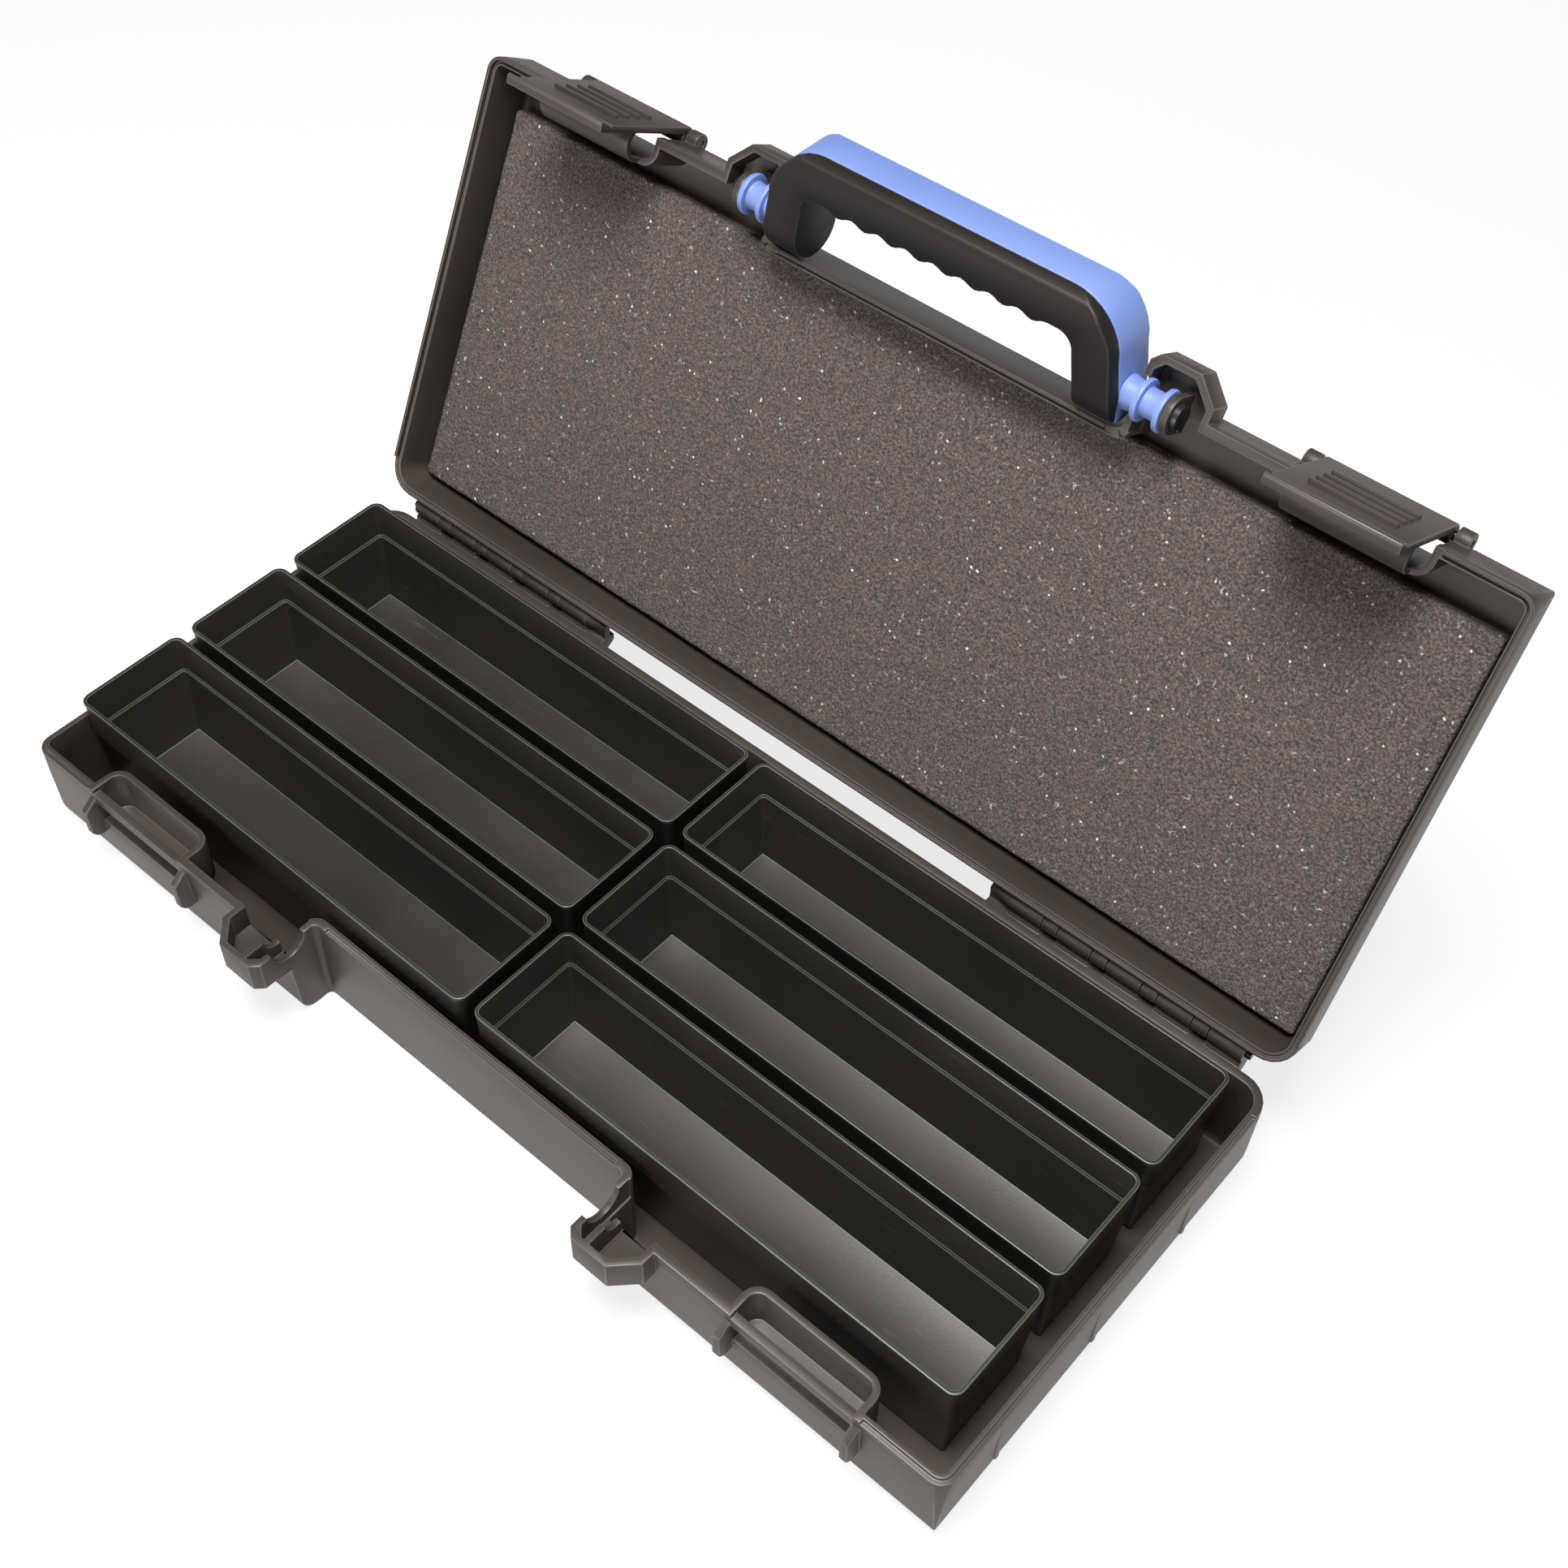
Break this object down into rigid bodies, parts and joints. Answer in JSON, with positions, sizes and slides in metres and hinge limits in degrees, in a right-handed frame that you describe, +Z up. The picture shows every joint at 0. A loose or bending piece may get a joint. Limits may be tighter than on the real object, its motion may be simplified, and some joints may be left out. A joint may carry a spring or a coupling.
{
  "type": "hard tool case",
  "caption": "Flat hinged plastic tool case, shown open, with latches, a folding carry handle, a foam-lined lid and lift-out bins.",
  "frame": {"origin": "centre of the base's underside, midway between its ends and between its front and hinge walls", "axes": "+X along the case to the right, +Y from the handle side to the hinges, +Z up; the lid stands open at its stop"},
  "size_m": [0.42, 0.2847, 0.2374],
  "materials": {
    "shell": "satin",
    "bin": "satin",
    "foam": "matte",
    "blue": "satin",
    "grip": "satin",
    "pin": "satin"
  },
  "bodies": {
    "base": {"base_shell": "shell", "hinge_pin_left": "pin", "hinge_pin_right": "pin"},
    "lid": {"lid_shell": "shell", "foam_liner": "foam", "handle_pin_left": "pin", "handle_pin_right": "pin", "latch_pin_left": "pin", "latch_pin_right": "pin"},
    "handle": {"handle_shell": "blue", "handle_grip": "grip"},
    "latch_left": {"latch_left": "shell"},
    "latch_right": {"latch_right": "shell"},
    "bin_front_left": {"bin_front_left": "bin"},
    "bin_front_right": {"bin_front_right": "bin"},
    "bin_middle_left": {"bin_middle_left": "bin"},
    "bin_middle_right": {"bin_middle_right": "bin"},
    "bin_rear_left": {"bin_rear_left": "bin"},
    "bin_rear_right": {"bin_rear_right": "bin"}
  },
  "joints": [
    {"name": "lid_hinge", "type": "hinge", "parent": "base", "child": "lid", "pos_m": [0, 0.0905, 0.045], "axis": [-1, 0, 0], "range_deg": [-116, 0]},
    {"name": "handle_swing", "type": "hinge", "parent": "lid", "child": "handle", "pos_m": [0, 0.16294, 0.20493], "axis": [1, 0, 0], "range_deg": [-116, 64]},
    {"name": "latch_left_turn", "type": "hinge", "parent": "lid", "child": "latch_left", "pos_m": [-0.1525, 0.18112, 0.19773], "axis": [-1, 0, 0], "range_deg": [0, 110]},
    {"name": "latch_right_turn", "type": "hinge", "parent": "lid", "child": "latch_right", "pos_m": [0.1525, 0.18112, 0.19773], "axis": [-1, 0, 0], "range_deg": [0, 110]},
    {"name": "bin_front_left_lift", "type": "slide", "parent": "base", "child": "bin_front_left", "axis": [0, 0, 1], "range_m": [0, 0.055]},
    {"name": "bin_front_right_lift", "type": "slide", "parent": "base", "child": "bin_front_right", "axis": [0, 0, 1], "range_m": [0, 0.055]},
    {"name": "bin_middle_left_lift", "type": "slide", "parent": "base", "child": "bin_middle_left", "axis": [0, 0, 1], "range_m": [0, 0.055]},
    {"name": "bin_middle_right_lift", "type": "slide", "parent": "base", "child": "bin_middle_right", "axis": [0, 0, 1], "range_m": [0, 0.055]},
    {"name": "bin_rear_left_lift", "type": "slide", "parent": "base", "child": "bin_rear_left", "axis": [0, 0, 1], "range_m": [0, 0.055]},
    {"name": "bin_rear_right_lift", "type": "slide", "parent": "base", "child": "bin_rear_right", "axis": [0, 0, 1], "range_m": [0, 0.055]}
  ]
}
